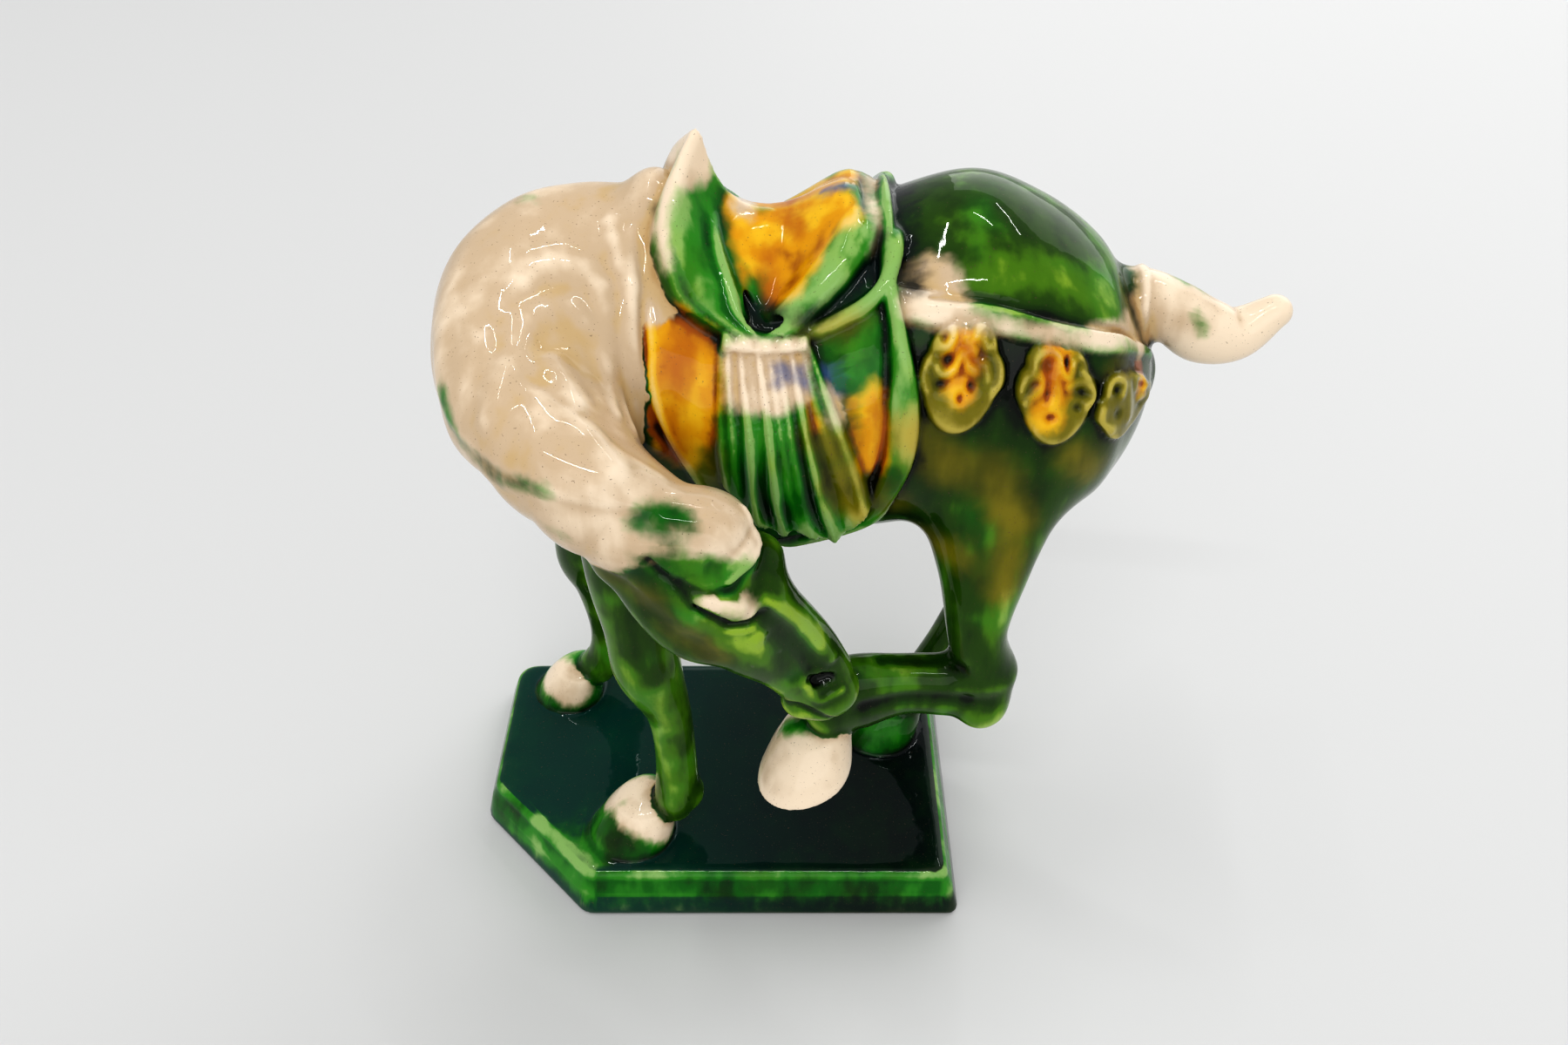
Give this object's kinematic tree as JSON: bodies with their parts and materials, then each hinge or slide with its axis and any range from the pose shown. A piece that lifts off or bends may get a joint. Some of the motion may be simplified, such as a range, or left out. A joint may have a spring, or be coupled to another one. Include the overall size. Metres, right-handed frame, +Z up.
{
  "type": "glazed pottery tomb horse figure",
  "caption": "Glazed pottery horse with saddle and harness on a plinth, its neck bent round to its raised hind leg, an ornament that stands by its own weight.",
  "frame": {"origin": "middle of the plinth's underside", "axes": "+Z up; +X along the horse towards its tail; -Y towards the side to which the horse turns its head"},
  "size_m": [0.1844, 0.1032, 0.1975],
  "materials": {
    "three_colour_glaze": "gloss"
  },
  "bodies": {
    "root": {"tomb_horse": "three_colour_glaze"}
  },
  "joints": []
}
